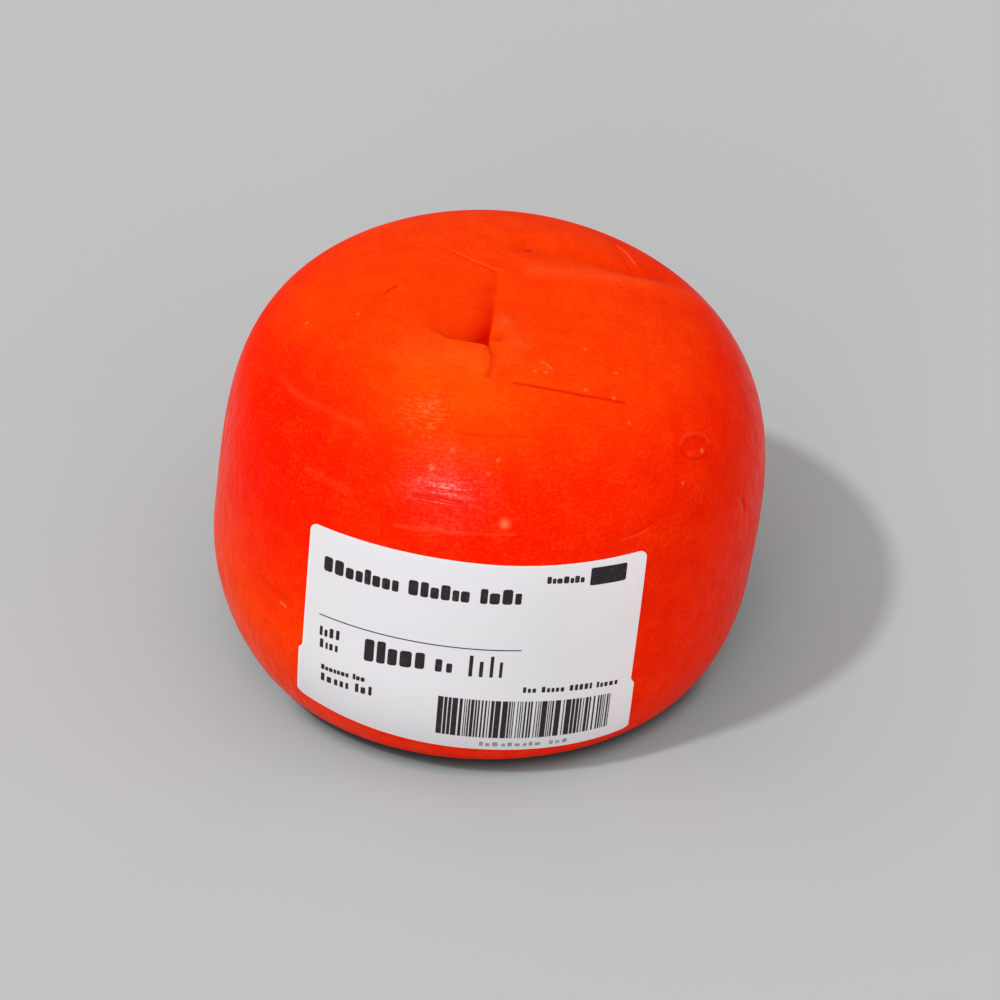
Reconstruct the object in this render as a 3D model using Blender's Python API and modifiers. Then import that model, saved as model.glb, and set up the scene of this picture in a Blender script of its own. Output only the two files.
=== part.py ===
"""A whole waxed cheese ball that leans a little, with a paper label stuck on its lower front.

Metres, +Z up. The origin is on the floor, under the middle of the ball. The front is -Y.
"""

import math

import bmesh
import bpy
import numpy as np

MM = 0.001

# The ball, about a centre on the Z axis
RADIUS = 77.5 * MM
CENTRE_HEIGHT = 35.0 * MM
CROWN_HEIGHT = 81.0 * MM  # of the upper half, measured along the leaning axis
BELLY_DEPTH = 68.9 * MM  # of the lower half, before the floor flattens it
LEAN = math.radians(7.0)  # of the axis, towards +X
CROWN_POWER = 3.5  # 2 is an ellipse, more is a squarer shoulder
BELLY_POWER = 2.03
SOFT_SHOULDER = 0.73  # how much rounder the shoulder is at SOFT_SIDE
SOFT_SIDE = math.radians(-114.0)
OVAL = 0.018  # share of the radius by which the plan is oval
OVAL_SIDE = math.radians(53.6)
TRIANGLE = 0.0143  # share of the radius by which the plan is three-sided
TRIANGLE_SIDE = math.radians(-41.7)
FLOOR_SINK = 1.2 * MM  # how far the ball's own foot would lie under the floor
HEEL_POWER = 16.0  # more is a sharper heel

# The mesh is a globe whose upper pole is drawn to where the folds of the crown meet
SEGMENTS = 90
RINGS = 64
POLE_CLOSENESS = 0.5  # share of the even ring spacing that is left at the upper pole
SNAP = 0.4 * MM  # a vertex this near the floor is taken as on it

# The folds, as points on the crown in millimetres, from where they meet outwards
FOLD_MEETING = (1.0, -28.9, 116.1)
CREASE = [
    FOLD_MEETING,
    (2.0, -17.7, 116.3),
    (3.0, -4.7, 116.2),
    (4.4, 8.8, 116.0),
]
LEDGE = [
    FOLD_MEETING,
    (-6.5, -27.6, 116.9),
    (-14.5, -25.0, 117.7),
    (-18.7, -20.2, 118.2),
    (-24.6, -17.4, 118.5),
]
# Between the crease and the ledge the rind is tucked in; millimetres
TUCK_DEPTH = 3.4
TUCK_REACH = 11.0  # over which it rises to about a third, away from the meeting
CREASE_WALL = 1.8
LEDGE_WALL = 2.6
MEETING_WALL = 3.0

# Grooves, each with a depth (a ridge is less than 0) and a half width in millimetres
GROOVES = {
    "crease": (CREASE, 0.9, 2.4),
    "ledge": (LEDGE, 0.4, 2.4),
    "end of the pillow": ([FOLD_MEETING, (1.7, -36.2, 115.5), (0.7, -40.2, 115.1)], 0.6, 1.5),
    "pillow": ([(-20.0, -32.5, 117.3), (-8.3, -33.5, 116.8), (-3.0, -34.0, 116.2)], -0.9, 5.5),
    "lip": ([(5.3, -16.3, 115.9), (7.4, -27.0, 115.5), (6.0, -33.7, 115.3)], -0.9, 3.4),
    "long fine crease": ([(7.4, -41.9, 114.1), (25.0, -43.0, 110.9), (37.0, -42.2, 107.7)], 0.5, 1.8),
    "valley": ([(17.0, 20.0, 113.6), (34.3, 18.1, 110.5), (50.5, 21.2, 104.3)], 0.6, 4.5),
    "ridge": ([(13.4, 8.8, 114.9), (41.1, 11.8, 109.1), (61.0, 17.5, 96.0)], -0.45, 4.5),
}
# Soft rises, as a middle in millimetres, a height (a hollow is less than 0) and a radius
MOUNDS = {
    "notch in the lip": ((3.7, -24.2, 116.0), -0.7, 2.0),
    "navel": ((9.6, 22.0, 114.5), -0.8, 4.2),
}

# The label, laid on the ball from its middle
LABEL_SIDE = math.radians(-4.1)
LABEL_MIDDLE_HEIGHT = 45.5 * MM
LABEL_TURN = math.radians(4.4)  # its right end is lower
LABEL_WIDTH = 95.4 * MM
LABEL_HEIGHT = 68.0 * MM
LABEL_LEFT_FLARE = 0.03  # share by which the left end is taller than the middle
LABEL_RIGHT_FLARE = 0.13
LABEL_END_DROP = 1.3 * MM
LABEL_CORNER = 2.5 * MM
LABEL_STEP = 1.2 * MM  # the lower part is wider by this at each end
LABEL_STEP_HEIGHT = -9.0 * MM  # where the step is, from the label's middle
LABEL_STEP_LENGTH = 2.0 * MM
PAPER = 0.3 * MM
GAP = 0.3 * MM
LABEL_COLUMNS = 22
LABEL_ROWS = 11
CORNER_ROWS = 3
WALK_STEPS = 12

RIND_COLOUR = (0.95, 0.060, 0.002, 1.0)
PAPER_COLOUR = (0.79, 0.78, 0.80, 1.0)


def unit(vectors):
    """Vectors of length 1 along the ones given."""
    return vectors / np.linalg.norm(vectors, axis=-1, keepdims=True)


def reach(v):
    """1 on the ball's surface and more outside it, for a vector from the ball's centre."""
    c, s = math.cos(LEAN), math.sin(LEAN)
    x = v[..., 0] * c - v[..., 2] * s
    y = v[..., 1]
    z = v[..., 0] * s + v[..., 2] * c
    side = np.arctan2(y, x)
    upper = z >= 0
    height = np.where(upper, CROWN_HEIGHT, BELLY_DEPTH)
    power = np.where(upper, CROWN_POWER + SOFT_SHOULDER * np.cos(side - SOFT_SIDE), BELLY_POWER)
    oval = OVAL * np.cos(2 * (side - OVAL_SIDE))
    triangle = TRIANGLE * np.cos(3 * (side - TRIANGLE_SIDE))
    radius = RADIUS * (1 + oval + triangle)
    ball = ((np.hypot(x, y) / radius) ** power + (np.abs(z) / height) ** power) ** (1 / power)
    floor = np.maximum(-v[..., 2], 0) / (CENTRE_HEIGHT + FLOOR_SINK)
    return (ball**HEEL_POWER + floor**HEEL_POWER) ** (1 / HEEL_POWER)


CENTRE = np.array([0.0, 0.0, CENTRE_HEIGHT])


def on_ball(points):
    """The points moved along their rays from the centre, on to the ball."""
    v = np.asarray(points, float) - CENTRE
    return CENTRE + v / reach(v)[..., None]


def normals(points):
    """The ball's outward normals at points on it."""
    v = points - CENTRE
    nudge = 1e-6
    slopes = [reach(v + step) - reach(v - step) for step in np.eye(3) * nudge]
    return unit(np.stack(slopes, -1))


def gap_to_line(points, line):
    """How far each point is from the nearest stretch of a line, in millimetres; less than 0 on its right."""
    line = on_ball(np.array(line) * MM)
    best = np.full(points.shape[:-1], np.inf)
    for start, end in zip(line[:-1], line[1:]):
        run = end - start
        share = np.clip((points - start) @ run / (run @ run), 0, 1)
        off = points - start - share[..., None] * run
        gap = np.linalg.norm(off, axis=-1)
        left = run[0] * off[..., 1] - run[1] * off[..., 0]
        best = np.where(gap < np.abs(best), np.where(left < 0, -gap, gap), best)
    return best / MM


def rise_over(values, width):
    """A smooth rise from 0 at 0 to 1 at the width."""
    share = np.clip(values / width, 0, 1)
    return share * share * (3 - 2 * share)


def tuck(points):
    """How deep the rind is tucked in between the crease and the ledge, in millimetres."""
    away = np.linalg.norm(points - on_ball(np.array(FOLD_MEETING) * MM), axis=-1) / MM
    inside = rise_over(gap_to_line(points, CREASE), CREASE_WALL)
    inside = inside * rise_over(-gap_to_line(points, LEDGE), LEDGE_WALL)
    inside = inside * rise_over(away, MEETING_WALL)
    return TUCK_DEPTH * inside * np.exp(-away / TUCK_REACH)


def relief(points):
    """How far the folds and hollows raise each point of the ball, in metres."""
    height = -tuck(points)
    for line, depth, half_width in GROOVES.values():
        height -= depth * np.exp(-((gap_to_line(points, line) / half_width) ** 2))
    for middle, rise, radius in MOUNDS.values():
        gap = np.linalg.norm(points - on_ball(np.array(middle) * MM), axis=-1) / MM
        height += rise * np.exp(-((gap / radius) ** 2))
    return height * MM


def cheese_mesh():
    """The ball with its folds and a flat foot."""
    bm = bmesh.new()
    bmesh.ops.create_uvsphere(bm, u_segments=SEGMENTS, v_segments=RINGS, radius=1.0)
    globe = np.array([vertex.co for vertex in bm.verts])
    polar = np.arccos(np.clip(globe[:, 2], -1, 1))
    polar = polar * (POLE_CLOSENESS + (1 - POLE_CLOSENESS) * polar / math.pi)
    side = np.arctan2(globe[:, 1], globe[:, 0])
    rays = np.stack([np.sin(polar) * np.cos(side), np.sin(polar) * np.sin(side), np.cos(polar)], -1)
    pull = unit(np.array(FOLD_MEETING) * MM - CENTRE) - (0, 0, 1)
    rays += pull * ((1 + np.cos(polar[:, None])) / 2) ** 2
    base = on_ball(CENTRE + rays)
    raised = base + normals(base) * relief(base)[:, None]
    for vertex, place in zip(bm.verts, raised):
        vertex.co = place
    everything = bm.verts[:] + bm.edges[:] + bm.faces[:]
    cut = bmesh.ops.bisect_plane(
        bm, geom=everything, dist=SNAP, plane_co=(0, 0, 0), plane_no=(0, 0, -1), clear_outer=True
    )
    rim = [item for item in cut["geom_cut"] if isinstance(item, bmesh.types.BMEdge)]
    for vertex in {vertex for edge in rim for vertex in edge.verts}:
        vertex.co.z = 0.0
    bmesh.ops.holes_fill(bm, edges=rim)
    bmesh.ops.recalc_face_normals(bm, faces=bm.faces[:])
    mesh = bpy.data.meshes.new("cheese")
    bm.to_mesh(mesh)
    bm.free()
    return mesh


def walk(points, heading, distance):
    """Points carried straight ahead over the ball, and the heading that each arrives with."""
    sign = np.where(distance < 0, -1.0, 1.0)[..., None]
    heading = heading * sign
    step = np.abs(distance)[..., None] / WALK_STEPS
    for _ in range(WALK_STEPS):
        points = on_ball(points + heading * step)
        out = normals(points)
        heading = unit(heading - (heading * out).sum(-1, keepdims=True) * out)
    return points, heading * sign


def on_label(across, up):
    """Where a point of the flat label, measured from its middle, lies on the ball."""
    front = np.array([math.sin(LABEL_SIDE), -math.cos(LABEL_SIDE)]) * RADIUS
    middle = on_ball([front[0], front[1], LABEL_MIDDLE_HEIGHT])
    for _ in range(5):
        middle = on_ball([middle[0], middle[1], LABEL_MIDDLE_HEIGHT])
    out = normals(middle)
    level = unit(np.cross([0.0, 0.0, 1.0], out))
    steep = np.cross(out, level)
    heading = math.sin(LABEL_TURN) * level + math.cos(LABEL_TURN) * steep
    points = np.broadcast_to(middle, across.shape + (3,))
    points, heading = walk(points, np.broadcast_to(heading, points.shape), up)
    points, _ = walk(points, np.cross(heading, normals(points)), across)
    return points


def label_rows():
    """Heights of the label's rows, with more of them at the rounded corners and at the step."""
    top = LABEL_HEIGHT / 2
    bend = [LABEL_CORNER * (1 - math.sin(math.pi / 2 * i / CORNER_ROWS)) for i in range(CORNER_ROWS + 1)]
    ends = [top - drop for drop in reversed(bend)] + [drop - top for drop in bend]
    middle = np.linspace(LABEL_CORNER - top, top - LABEL_CORNER, LABEL_ROWS + 1)[1:-1]
    half_step = LABEL_STEP_LENGTH / 2
    step = [LABEL_STEP_HEIGHT - half_step, LABEL_STEP_HEIGHT + half_step]
    clear = [up for up in middle if abs(up - LABEL_STEP_HEIGHT) > LABEL_STEP_LENGTH]
    return sorted(set(ends + clear + step))


def label_half_width(up):
    """Half of the label's width at a height, narrower in the rounded corners and wider under the step."""
    share = (LABEL_STEP_HEIGHT - up) / LABEL_STEP_LENGTH + 0.5
    half = LABEL_WIDTH / 2 + LABEL_STEP * min(max(share, 0.0), 1.0)
    into_corner = max(abs(up) - LABEL_HEIGHT / 2 + LABEL_CORNER, 0.0)
    return half - LABEL_CORNER + math.sqrt(max(LABEL_CORNER**2 - into_corner**2, 0.0))


def label_mesh():
    """The label's back as an open sheet, which the Solidify modifier thickens."""
    rows = label_rows()
    bm = bmesh.new()
    bmesh.ops.create_grid(bm, x_segments=LABEL_COLUMNS, y_segments=len(rows) - 1, size=1.0)
    unit_across = np.array([vertex.co.x for vertex in bm.verts])
    row = np.array([round((vertex.co.y + 1) / 2 * (len(rows) - 1)) for vertex in bm.verts])
    up = np.array(rows)[row]
    across = unit_across * np.array([label_half_width(height) for height in rows])[row]
    flare = np.where(across < 0, LABEL_LEFT_FLARE, LABEL_RIGHT_FLARE)
    end_share = (2 * across / LABEL_WIDTH) ** 2
    places = on_label(across, up * (1 + flare * end_share) - LABEL_END_DROP * end_share)
    places = places + normals(places) * GAP
    for vertex, place in zip(bm.verts, places):
        vertex.co = place
    bm.faces.ensure_lookup_table()
    bm.normal_update()
    if bm.faces[0].normal.y > 0:
        bmesh.ops.reverse_faces(bm, faces=bm.faces[:])
    mesh = bpy.data.meshes.new("label")
    bm.to_mesh(mesh)
    bm.free()
    return mesh


def material(name, colour, roughness):
    """A Principled material of one colour."""
    made = bpy.data.materials.new(name)
    made.use_nodes = True
    shader = made.node_tree.nodes["Principled BSDF"]
    shader.inputs["Base Color"].default_value = colour
    shader.inputs["Roughness"].default_value = roughness
    shader.inputs["Metallic"].default_value = 0.0
    return made


def place(name, mesh, finish, collection):
    """An object of the mesh, shaded smooth, in the collection."""
    made = bpy.data.objects.new(name, mesh)
    mesh.materials.append(finish)
    mesh.shade_smooth()
    mesh.set_sharp_from_angle(angle=math.radians(50))
    collection.objects.link(made)
    return made


def main():
    for old in list(bpy.data.objects):
        bpy.data.objects.remove(old)
    collection = bpy.data.collections.new("mimolette")
    bpy.context.scene.collection.children.link(collection)
    place("cheese", cheese_mesh(), material("waxed_rind", RIND_COLOUR, 0.33), collection)
    label = place("label", label_mesh(), material("label_paper", PAPER_COLOUR, 0.55), collection)
    thicken = label.modifiers.new("paper", "SOLIDIFY")
    thicken.thickness = PAPER
    thicken.offset = 1.0
    thicken.use_even_offset = True


main()
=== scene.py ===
"""The looks of a whole waxed mimolette ball with a paper label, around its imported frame."""

import logging
import math
from dataclasses import dataclass
from enum import Enum
from typing import Any, Iterable, Sequence

import bmesh
import bpy
import numpy as np
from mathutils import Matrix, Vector

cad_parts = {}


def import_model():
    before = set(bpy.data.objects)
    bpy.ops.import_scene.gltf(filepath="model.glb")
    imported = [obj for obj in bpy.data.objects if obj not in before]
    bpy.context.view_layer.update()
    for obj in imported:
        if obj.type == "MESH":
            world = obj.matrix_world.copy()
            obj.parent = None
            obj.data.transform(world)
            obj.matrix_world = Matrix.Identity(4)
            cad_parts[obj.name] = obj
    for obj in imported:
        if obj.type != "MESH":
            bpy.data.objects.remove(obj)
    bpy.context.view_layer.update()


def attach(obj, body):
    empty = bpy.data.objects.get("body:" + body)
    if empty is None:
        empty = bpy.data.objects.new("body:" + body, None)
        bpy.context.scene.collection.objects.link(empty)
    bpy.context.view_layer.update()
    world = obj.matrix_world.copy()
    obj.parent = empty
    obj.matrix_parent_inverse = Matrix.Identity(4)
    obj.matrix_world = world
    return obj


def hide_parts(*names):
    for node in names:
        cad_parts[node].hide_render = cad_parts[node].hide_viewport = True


LOG = logging.getLogger("mimolette")
MM = 0.001
Colour = tuple[float, float, float]
Point = tuple[float, float, float]
Slab = tuple[np.ndarray, np.ndarray]  # points in metres and four-sided faces
GLOSS_SPOT: Point = (-11.0, -68.4, 98.6)  # where the softbox shines in the front shoulder, in millimetres


class Slot(Enum):
    """The record's material slots."""

    RIND = "rind"
    LABEL = "label_paper"


def unit(vectors: np.ndarray) -> np.ndarray:
    """Vectors of length 1 along the ones given."""
    return vectors / np.linalg.norm(vectors, axis=-1, keepdims=True)


def smooth(values: np.ndarray, low: float, high: float) -> np.ndarray:
    """A smooth rise from 0 at low to 1 at high."""
    share = np.clip((values - low) / (high - low), 0, 1)
    return share * share * (3 - 2 * share)


def metres(point: Point) -> Point:
    """A point given in millimetres, in metres."""
    return tuple(part * MM for part in point)


def add(name: str, data: bpy.types.ID) -> bpy.types.Object:
    """Puts a new mesh, lamp or camera into the scene."""
    made = bpy.data.objects.new(name, data)
    bpy.context.scene.collection.objects.link(made)
    return made


def store(mesh: bpy.types.Mesh, name: str, values: np.ndarray) -> None:
    """Stores a number from 0 to 1 at each of the mesh's points."""
    stored = mesh.attributes.new(name, "FLOAT", "POINT")
    stored.data.foreach_set("value", np.clip(values, 0, 1).astype(np.float32))


class Sock:
    """A node's output that can be used in sums: each operator adds a Math node."""

    def __init__(self, graph: "Graph", link: bpy.types.NodeSocket) -> None:
        """Keeps the socket and the graph that it belongs to."""
        self.graph = graph
        self.link = link

    def __add__(self, other: Any) -> "Sock":
        """The sum of this and another."""
        return self.graph.math("ADD", self, other)

    def __sub__(self, other: Any) -> "Sock":
        """This less another."""
        return self.graph.math("SUBTRACT", self, other)

    def __mul__(self, other: Any) -> "Sock":
        """The product of this and another."""
        return self.graph.math("MULTIPLY", self, other)

    def __rsub__(self, other: Any) -> "Sock":
        """Another less this."""
        return self.graph.math("SUBTRACT", other, self)

    __radd__ = __add__


class Graph:
    """The node tree of a material or of the world."""

    def __init__(self, tree: bpy.types.NodeTree) -> None:
        """Keeps the tree."""
        self.tree = tree

    def feed(self, socket: bpy.types.NodeSocket, value: Any) -> None:
        """Links a Sock to a socket, or sets the socket's own value."""
        if isinstance(value, Sock):
            self.tree.links.new(value.link, socket)
        elif isinstance(value, tuple) and len(value) == 3 and len(socket.default_value) == 4:
            socket.default_value = (*value, 1.0)
        else:
            socket.default_value = value

    def node(self, kind: str, settings: dict[str, Any], sockets: dict[Any, Any], output: Any = 0) -> Sock:
        """Adds one node.

        Args:
            kind: The node's type.
            settings: Its own settings, set first.
            sockets: Values or links for its inputs, by name or number.
            output: The output wanted, by name or number.

        Returns:
            That output.
        """
        made = self.tree.nodes.new(kind)
        for name, value in settings.items():
            setattr(made, name, value)
        for name, value in sockets.items():
            self.feed(made.inputs[name], value)
        return Sock(self, made.outputs[output])

    def math(self, operation: str, first: Any, second: Any) -> Sock:
        """A Math node of two values."""
        return self.node("ShaderNodeMath", {"operation": operation}, {0: first, 1: second})

    def vector(self, operation: str, first: Any, second: Any = None, output: str = "Vector") -> Sock:
        """A Vector Math node of one or two vectors."""
        sockets = {0: first} if second is None else {0: first, 1: second}
        return self.node("ShaderNodeVectorMath", {"operation": operation}, sockets, output)

    def part(self, vector: Sock, axis: str) -> Sock:
        """The X, Y or Z of a vector."""
        return self.node("ShaderNodeSeparateXYZ", {}, {0: vector}, axis)

    def ramp(self, value: Sock, low: float, high: float) -> Sock:
        """A smooth rise from 0 at low to 1 at high, or a fall if high is less than low."""
        rise = {"interpolation_type": "SMOOTHSTEP"}
        ends = {"Value": value, "From Min": min(low, high), "From Max": max(low, high)}
        made = self.node("ShaderNodeMapRange", rise, ends)
        return made if low < high else 1 - made

    def mix(self, share: Any, first: Any, second: Any) -> Sock:
        """The first colour where share is 0 and the second where it is 1."""
        settings = {"data_type": "RGBA", "clamp_factor": True}
        return self.node("ShaderNodeMix", settings, {0: share, 6: first, 7: second}, 2)

    def place(self) -> Sock:
        """The place in the object, in metres."""
        return self.node("ShaderNodeTexCoord", {}, {}, "Object")

    def noise(self, vector: Sock, scale: float, detail: float = 3.0, roughness: float = 0.5) -> Sock:
        """Noise about 0.5, with scale features to each unit of the vector."""
        sockets = {"Vector": vector, "Scale": scale, "Detail": detail, "Roughness": roughness}
        return self.node("ShaderNodeTexNoise", {}, sockets)

    def around(self, place: Sock, round_scale: float, down_scale: float) -> Sock:
        """A vector for noise that is drawn out around the ball.

        Args:
            place: The place in the object.
            round_scale: About how many features there are to a radian of the way round.
            down_scale: How many there are to a metre, from the crown's middle outwards and down.

        Returns:
            The vector.
        """
        flat = self.vector("MULTIPLY", place, (1.0, 1.0, 0.0))
        radius = self.vector("LENGTH", flat, output="Value")
        level = self.vector("MULTIPLY", self.vector("NORMALIZE", flat), (round_scale, round_scale, 0.0))
        down = self.node("ShaderNodeCombineXYZ", {}, {"Z": (self.part(place, "Z") - radius) * down_scale})
        return self.vector("ADD", level, down)

    def near(self, vector: Sock, middle: Point, radius: float) -> Sock:
        """1 at the middle, falling smoothly to 0 at the radius."""
        return self.ramp(self.vector("DISTANCE", vector, middle, "Value"), radius, 0.0)

    def stored(self, name: str) -> Sock:
        """A number that the mesh stores at each of its points."""
        return self.node("ShaderNodeAttribute", {"attribute_name": name}, {}, "Fac")

    def bump(self, height: Sock) -> Sock:
        """A normal for a height in millimetres."""
        return self.node("ShaderNodeBump", {}, {"Height": height, "Strength": 1.0, "Distance": MM})


class Surface(Graph):
    """A material's node tree, which ends in one Principled shader."""

    def __init__(self, name: str) -> None:
        """Makes the material and finds its shader."""
        self.material = bpy.data.materials.new(name)
        self.material.use_nodes = True
        super().__init__(self.material.node_tree)
        self.shader = self.tree.nodes["Principled BSDF"]

    def finish(self, sockets: dict[str, Any]) -> bpy.types.Material:
        """Feeds the shader and hands over the material."""
        for name, value in sockets.items():
            self.feed(self.shader.inputs[name], value)
        return self.material


@dataclass(frozen=True)
class Patch:
    """A round patch with a colour of its own, which fades out at its radius; in millimetres."""

    middle: Point
    radius: float
    colour: Colour
    share: float = 1.0  # of that colour, at its middle

    def over(self, surface: Surface, place: Sock, colour: Any, amount: Any = 1.0) -> Sock:
        """Lays the patch over a colour.

        Args:
            surface: The surface that it is on.
            place: The place in the object.
            colour: The colour around the patch.
            amount: A number or a pattern that thins the patch out.

        Returns:
            The colour with the patch on it.
        """
        share = surface.near(place, metres(self.middle), self.radius * MM) * self.share
        return surface.mix(share * amount, colour, self.colour)


@dataclass(frozen=True)
class WaxedRind:
    """Orange wax: redder below the crown, whose yellower tone is painted light from above, with painted
    highlights; brushed round, scuffed, and leathery at the sides.
    """

    side: Colour = (0.95, 0.0165, 0.0004)
    # painted light: the crown's yellower orange stands in for the brighter light that falls on the top
    crown: Colour = (0.95, 0.0430, 0.0006)
    pale: Colour = (0.97, 0.170, 0.012)
    # pale colour for real scuffs and for painted highlights and glints on lips, ridges, bumps and specks
    scuff_and_glint: Colour = (0.97, 0.190, 0.060)
    # darker red for random grain and mottle, real stains, and painted shade in folds and beside raised lines
    dark: Colour = (0.62, 0.0045, 0.0003)
    front: Patch = Patch((4.0, -76.0, 84.0), 45.0, (0.95, 0.0100, 0.0004))
    foot: Patch = Patch((-68.0, -38.0, 34.0), 62.0, (0.95, 0.0480, 0.0012))
    flank: Patch = Patch((-60.0, -46.0, 86.0), 55.0, (0.95, 0.0062, 0.0003), 0.9)
    # painted highlight: a lighter, yellower patch where the key light falls broadly on the crown
    glow: Patch = Patch((-6.0, -40.0, 115.0), 31.0, (0.95, 0.0700, 0.0010))
    # painted highlight: pale brushed streaks where the key light shines on the front of the crown
    highlight_streaks: Patch = Patch((-15.5, -53.0, 112.0), 10.0, (0.97, 0.190, 0.060), 0.45)
    crown_edge: tuple[float, float] = (0.097, 0.117)  # heights where its colour starts and is full
    crown_tilt: float = 0.06  # rise of that colour's level for each metre towards +X
    crown_waver: float = 0.016
    pale_grain: float = 0.12  # the most of the pale colour that the grain has
    dark_grain: float = 0.22
    dark_mottle: float = 0.13
    wax_specular: float = 0.003
    wax_tint: Colour = (1.0, 0.80, 0.45)
    roughness: float = 0.46
    brush_roughness: float = 0.16
    gloss_radius: float = 0.018
    gloss_weight: float = 1.1
    sheen_weight: float = 0.44
    sheen_edge: tuple[float, float] = (0.34, 1.0)  # how edge-on the wax is where it starts and is full
    coat_roughness: float = 0.22
    flank_top: tuple[float, float] = (0.104, 0.084)
    right_side: tuple[float, float] = (0.042, 0.070)

    def patterns(self, surface: Surface, place: Sock) -> dict[str, Sock]:
        """The noises that the finish is made of, from the widest to the finest."""
        return {
            "cloud": surface.noise(place, 42.0, 3.0),
            "mottle": surface.noise(place, 150.0, 3.0, 0.55),
            "leather": surface.noise(surface.around(place, 44.0, 150.0), 1.0, 3.0, 0.6),
            "fine": surface.noise(place, 1100.0, 2.0, 0.6),
            "brush": surface.noise(surface.around(place, 7.0, 700.0), 1.0, 4.0, 0.6),
            "smear": surface.noise(surface.around(place, 16.0, 1700.0), 1.0, 2.0, 0.6),
        }

    def colour(self, surface: Surface, place: Sock, noise: dict[str, Sock]) -> Sock:
        """The wax's colour, with its patches, grain, real stains and scuffs, painted shade, and painted
        highlights and highlight streaks.
        """
        colour = self.front.over(surface, place, self.side)
        colour = self.foot.over(surface, place, colour)
        # Painted light: the crown turns yellower above a wavering level, for the light that falls on the
        # top.
        level = surface.part(place, "Z") + surface.part(place, "X") * self.crown_tilt
        level = level + (noise["cloud"] - 0.5) * self.crown_waver
        colour = surface.mix(surface.ramp(level, *self.crown_edge), colour, self.crown)
        colour = self.flank.over(surface, place, colour)
        # Painted highlight, lighter and yellower where the key light falls broadly on the crown.
        colour = self.glow.over(surface, place, colour, noise["brush"] * 0.9 + 0.5)
        grain = noise["fine"] * 0.5 + noise["smear"] * 0.3 + noise["mottle"] * 0.2
        colour = surface.mix(surface.ramp(grain, 0.46, 0.66) * self.pale_grain, colour, self.pale)
        colour = surface.mix(surface.ramp(grain, 0.52, 0.34) * self.dark_grain, colour, self.dark)
        colour = surface.mix(surface.ramp(noise["mottle"], 0.66, 0.30) * self.dark_mottle, colour, self.dark)
        # Real stains and painted shade in folds and beside raised lines, then real scuffs and painted
        # highlights and glints.
        colour = surface.mix(surface.stored("stain_and_shade"), colour, self.dark)
        colour = surface.mix(surface.stored("pale") * (0.7 + noise["fine"] * 0.6), colour, self.scuff_and_glint)
        # Painted highlight: pale brushed streaks where the key light shines.
        highlight_streaks = surface.ramp(noise["smear"] * 0.6 + noise["fine"] * 0.4, 0.48, 0.62)
        return self.highlight_streaks.over(surface, place, colour, highlight_streaks)

    def coat(self, surface: Surface, place: Sock, noise: dict[str, Sock], flank: Sock) -> Sock:
        """How glossy the wax is: most in one broken patch, and a little where it is seen edge-on."""
        broken = noise["fine"] * 0.4 + noise["smear"] * 0.35 + noise["mottle"] * 0.25
        broken = surface.ramp(broken, 0.46, 0.57) * 0.8 + 0.2
        wet = broken * surface.near(place, metres(GLOSS_SPOT), self.gloss_radius)
        facing = surface.node("ShaderNodeLayerWeight", {}, {"Blend": 0.5}, "Facing")
        streaky = surface.ramp(noise["leather"], 0.40, 0.60) * 0.6 + 0.4
        sheen = surface.ramp(facing, *self.sheen_edge) * streaky * flank
        return wet * self.gloss_weight + sheen * self.sheen_weight

    def height(self, surface: Surface, place: Sock, noise: dict[str, Sock], flank: Sock) -> Sock:
        """The fine relief in millimetres, more leathery down the flanks and most on the right."""
        right = surface.ramp(surface.part(place, "X"), *self.right_side)
        leather = noise["leather"] * (0.03 + flank * 0.07 + flank * right * 0.34)
        height = leather + noise["mottle"] * 0.14 + noise["brush"] * 0.04
        return height + noise["smear"] * 0.02 + noise["fine"] * 0.012

    def material(self) -> bpy.types.Material:
        """The rind's material."""
        surface = Surface("waxed_rind")
        place = surface.place()
        noise = self.patterns(surface, place)
        flank = surface.ramp(surface.part(place, "Z"), *self.flank_top)
        return surface.finish(
            {
                "Base Color": self.colour(surface, place, noise),
                "Roughness": self.roughness + (noise["brush"] - 0.5) * self.brush_roughness,
                "Normal": surface.bump(self.height(surface, place, noise, flank)),
                "Specular IOR Level": self.wax_specular,
                "Specular Tint": self.wax_tint,
                "Coat Weight": self.coat(surface, place, noise, flank),
                "Coat Roughness": self.coat_roughness,
            }
        )


@dataclass(frozen=True)
class LabelPaper:
    """White coated paper with a faint grain, painted lighter and warmer towards its right end where it turns
    from the key light, and a paler rim painted where the cut edge catches the light.
    """

    white: Colour = (0.738, 0.720, 0.748)
    dull: Colour = (0.715, 0.70, 0.715)
    # painted light: the paper's right end is made lighter and warmer where it turns away from the key light
    warm: Colour = (0.865, 0.79, 0.80)
    # painted highlight along the rim, where the cut edge catches the light
    edge: Colour = (0.82, 0.81, 0.82)
    warm_end: tuple[float, float] = (0.015, 0.046)  # X where the warmer colour starts and is full
    specular: float = 0.12

    def material(self) -> bpy.types.Material:
        """The paper's material."""
        surface = Surface("label_paper")
        place = surface.place()
        cloud = surface.noise(place, 30.0, 3.0)
        grain = surface.noise(place, 1500.0, 3.0, 0.6)
        colour = surface.mix(surface.ramp(cloud, 0.35, 0.7) * 0.4 + grain * 0.15, self.white, self.dull)
        # Painted light towards the right end, where the paper turns away from the key light.
        colour = surface.mix(surface.ramp(surface.part(place, "X"), *self.warm_end), colour, self.warm)
        return surface.finish(
            {
                # Painted highlight along the rim, where the cut edge catches the light.
                "Base Color": surface.mix(surface.stored("edge"), colour, self.edge),
                "Roughness": 0.48 + cloud * 0.12,
                "Normal": surface.bump(grain * 0.012),
                "Specular IOR Level": self.specular,
            }
        )


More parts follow.
